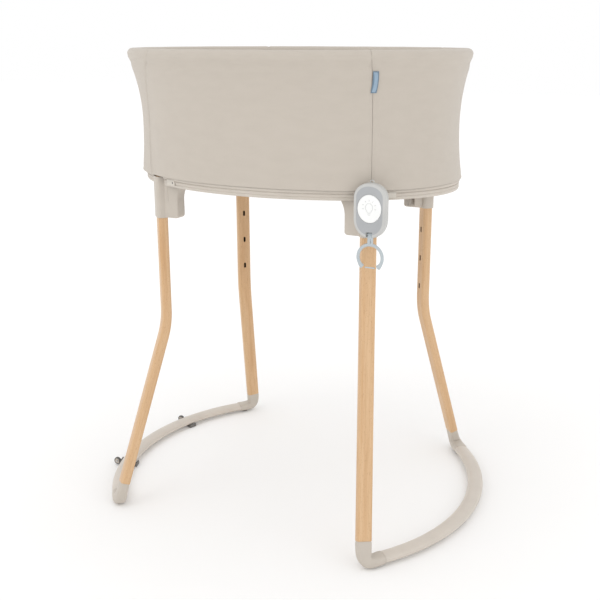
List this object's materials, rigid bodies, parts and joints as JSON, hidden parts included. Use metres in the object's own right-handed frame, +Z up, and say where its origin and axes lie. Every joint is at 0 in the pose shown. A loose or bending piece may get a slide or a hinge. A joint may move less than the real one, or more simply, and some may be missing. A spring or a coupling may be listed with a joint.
{
  "type": "bassinet on stand",
  "caption": "Oval padded fabric bassinet on four bent wooden legs with two arched floor rails, height slots, tilt casters and a clip-on night light",
  "frame": {"origin": "on the floor, below the centre of the overall box", "axes": "+X along the basket's length towards the end without casters, +Y to the back, +Z up"},
  "size_m": [0.814, 0.6008, 0.9298],
  "materials": {
    "beech_wood": "satin clear-lacquered beech",
    "greige_plastic": "matt moulded greige plastic",
    "rubber": "matt black rubber",
    "dark_plastic": "matt dark grey plastic",
    "steel": "plain steel",
    "painted_tube": "powder-coated steel tube",
    "fabric": "fine diamond knit, warm light greige",
    "foam": "soft open foam",
    "mattress_fabric": "quilted off-white cotton",
    "board": "pressed fibre board",
    "tag_fabric": "woven steel-blue label, no text",
    "grey_plastic": "matt cool grey plastic",
    "white_plastic": "gloss white translucent plastic",
    "circuit_board": "green solder mask",
    "battery": "shrink-wrapped cell",
    "ring_plastic": "matt pale grey plastic"
  },
  "bodies": {
    "stand": {"leg_front_left": "beech_wood", "foot_socket_front_left": "greige_plastic", "foot_pad_front_left": "rubber", "leg_front_right": "beech_wood", "foot_socket_front_right": "greige_plastic", "foot_pad_front_right": "rubber", "leg_back_left": "beech_wood", "foot_socket_back_left": "greige_plastic", "foot_pad_back_left": "rubber", "leg_back_right": "beech_wood", "foot_socket_back_right": "greige_plastic", "foot_pad_back_right": "rubber", "base_rail_left": "greige_plastic", "base_rail_right": "greige_plastic", "caster_arm_front": "dark_plastic", "caster_axle_front": "steel", "caster_arm_back": "dark_plastic", "caster_axle_back": "steel"},
    "basket": {"corner_bracket_front_left": "greige_plastic", "rim_post_front_left": "painted_tube", "corner_bracket_front_right": "greige_plastic", "rim_post_front_right": "painted_tube", "corner_bracket_back_left": "greige_plastic", "rim_post_back_left": "painted_tube", "corner_bracket_back_right": "greige_plastic", "rim_post_back_right": "painted_tube", "light_dock": "greige_plastic", "lower_tube_front": "painted_tube", "cover_panel_front": "fabric", "hem_band_front": "fabric", "lower_tube_back": "painted_tube", "cover_panel_back": "fabric", "hem_band_back": "fabric", "lower_tube_left": "painted_tube", "cover_panel_left": "fabric", "hem_band_left": "fabric", "lower_tube_right": "painted_tube", "cover_panel_right": "fabric", "hem_band_right": "fabric", "rim_tube": "steel", "rim_padding": "foam", "inner_liner": "fabric", "floor_board": "board", "label_tag": "tag_fabric"},
    "caster_wheel_front": {"caster_wheel_front": "rubber"},
    "caster_wheel_back": {"caster_wheel_back": "rubber"},
    "mattress": {"mattress": "mattress_fabric"},
    "night_light": {"light_case_front": "grey_plastic", "light_case_back": "grey_plastic", "light_circuit_board": "circuit_board", "light_battery": "battery", "light_hook_pin": "steel"},
    "light_button": {"light_button": "white_plastic"},
    "hook_ring": {"light_hook_ring": "ring_plastic"},
    "hook_gate": {"light_hook_gate": "ring_plastic"},
    "latch_front_left": {"height_latch_front_left": "greige_plastic"},
    "latch_front_right": {"height_latch_front_right": "greige_plastic"},
    "latch_back_left": {"height_latch_back_left": "greige_plastic"},
    "latch_back_right": {"height_latch_back_right": "greige_plastic"}
  },
  "joints": [
    {"name": "height_adjust", "type": "slide", "parent": "stand", "child": "basket", "axis": [0, 0, 1], "range_m": [-0.1875, 0]},
    {"name": "caster_spin_front", "type": "hinge", "parent": "stand", "child": "caster_wheel_front", "pos_m": [-0.39876, -0.13263, 0.0095], "axis": [0, 1, 0], "continuous": true},
    {"name": "caster_spin_back", "type": "hinge", "parent": "stand", "child": "caster_wheel_back", "pos_m": [-0.39876, 0.13263, 0.0095], "axis": [0, 1, 0], "continuous": true},
    {"name": "mattress_lift_out", "type": "slide", "parent": "basket", "child": "mattress", "axis": [0, 0, 1], "range_m": [0, 0.22]},
    {"name": "light_lift_off", "type": "slide", "parent": "basket", "child": "night_light", "axis": [0, -1, 0], "range_m": [0, 0.05]},
    {"name": "light_button_press", "type": "slide", "parent": "night_light", "child": "light_button", "axis": [0, 1, 0], "range_m": [0, 0.0015], "stiffness_N_per_m": 600},
    {"name": "hook_ring_swing", "type": "hinge", "parent": "night_light", "child": "hook_ring", "pos_m": [0.24204, -0.1995, 0.6117], "axis": [1, 0, 0], "range_deg": [-80, 8]},
    {"name": "hook_gate_open", "type": "hinge", "parent": "hook_ring", "child": "hook_gate", "pos_m": [0.25153, -0.1995, 0.55132], "axis": [0, 1, 0], "range_deg": [0, 60], "stiffness_Nm_per_rad": 0.01},
    {"name": "latch_push_front_left", "type": "slide", "parent": "basket", "child": "latch_front_left", "axis": [-0.7071, -0.7071, 0], "range_m": [0, 0.006]},
    {"name": "latch_push_front_right", "type": "slide", "parent": "basket", "child": "latch_front_right", "axis": [0.7071, -0.7071, 0], "range_m": [0, 0.006]},
    {"name": "latch_push_back_left", "type": "slide", "parent": "basket", "child": "latch_back_left", "axis": [-0.7071, 0.7071, 0], "range_m": [0, 0.006]},
    {"name": "latch_push_back_right", "type": "slide", "parent": "basket", "child": "latch_back_right", "axis": [0.7071, 0.7071, 0], "range_m": [0, 0.006]}
  ]
}
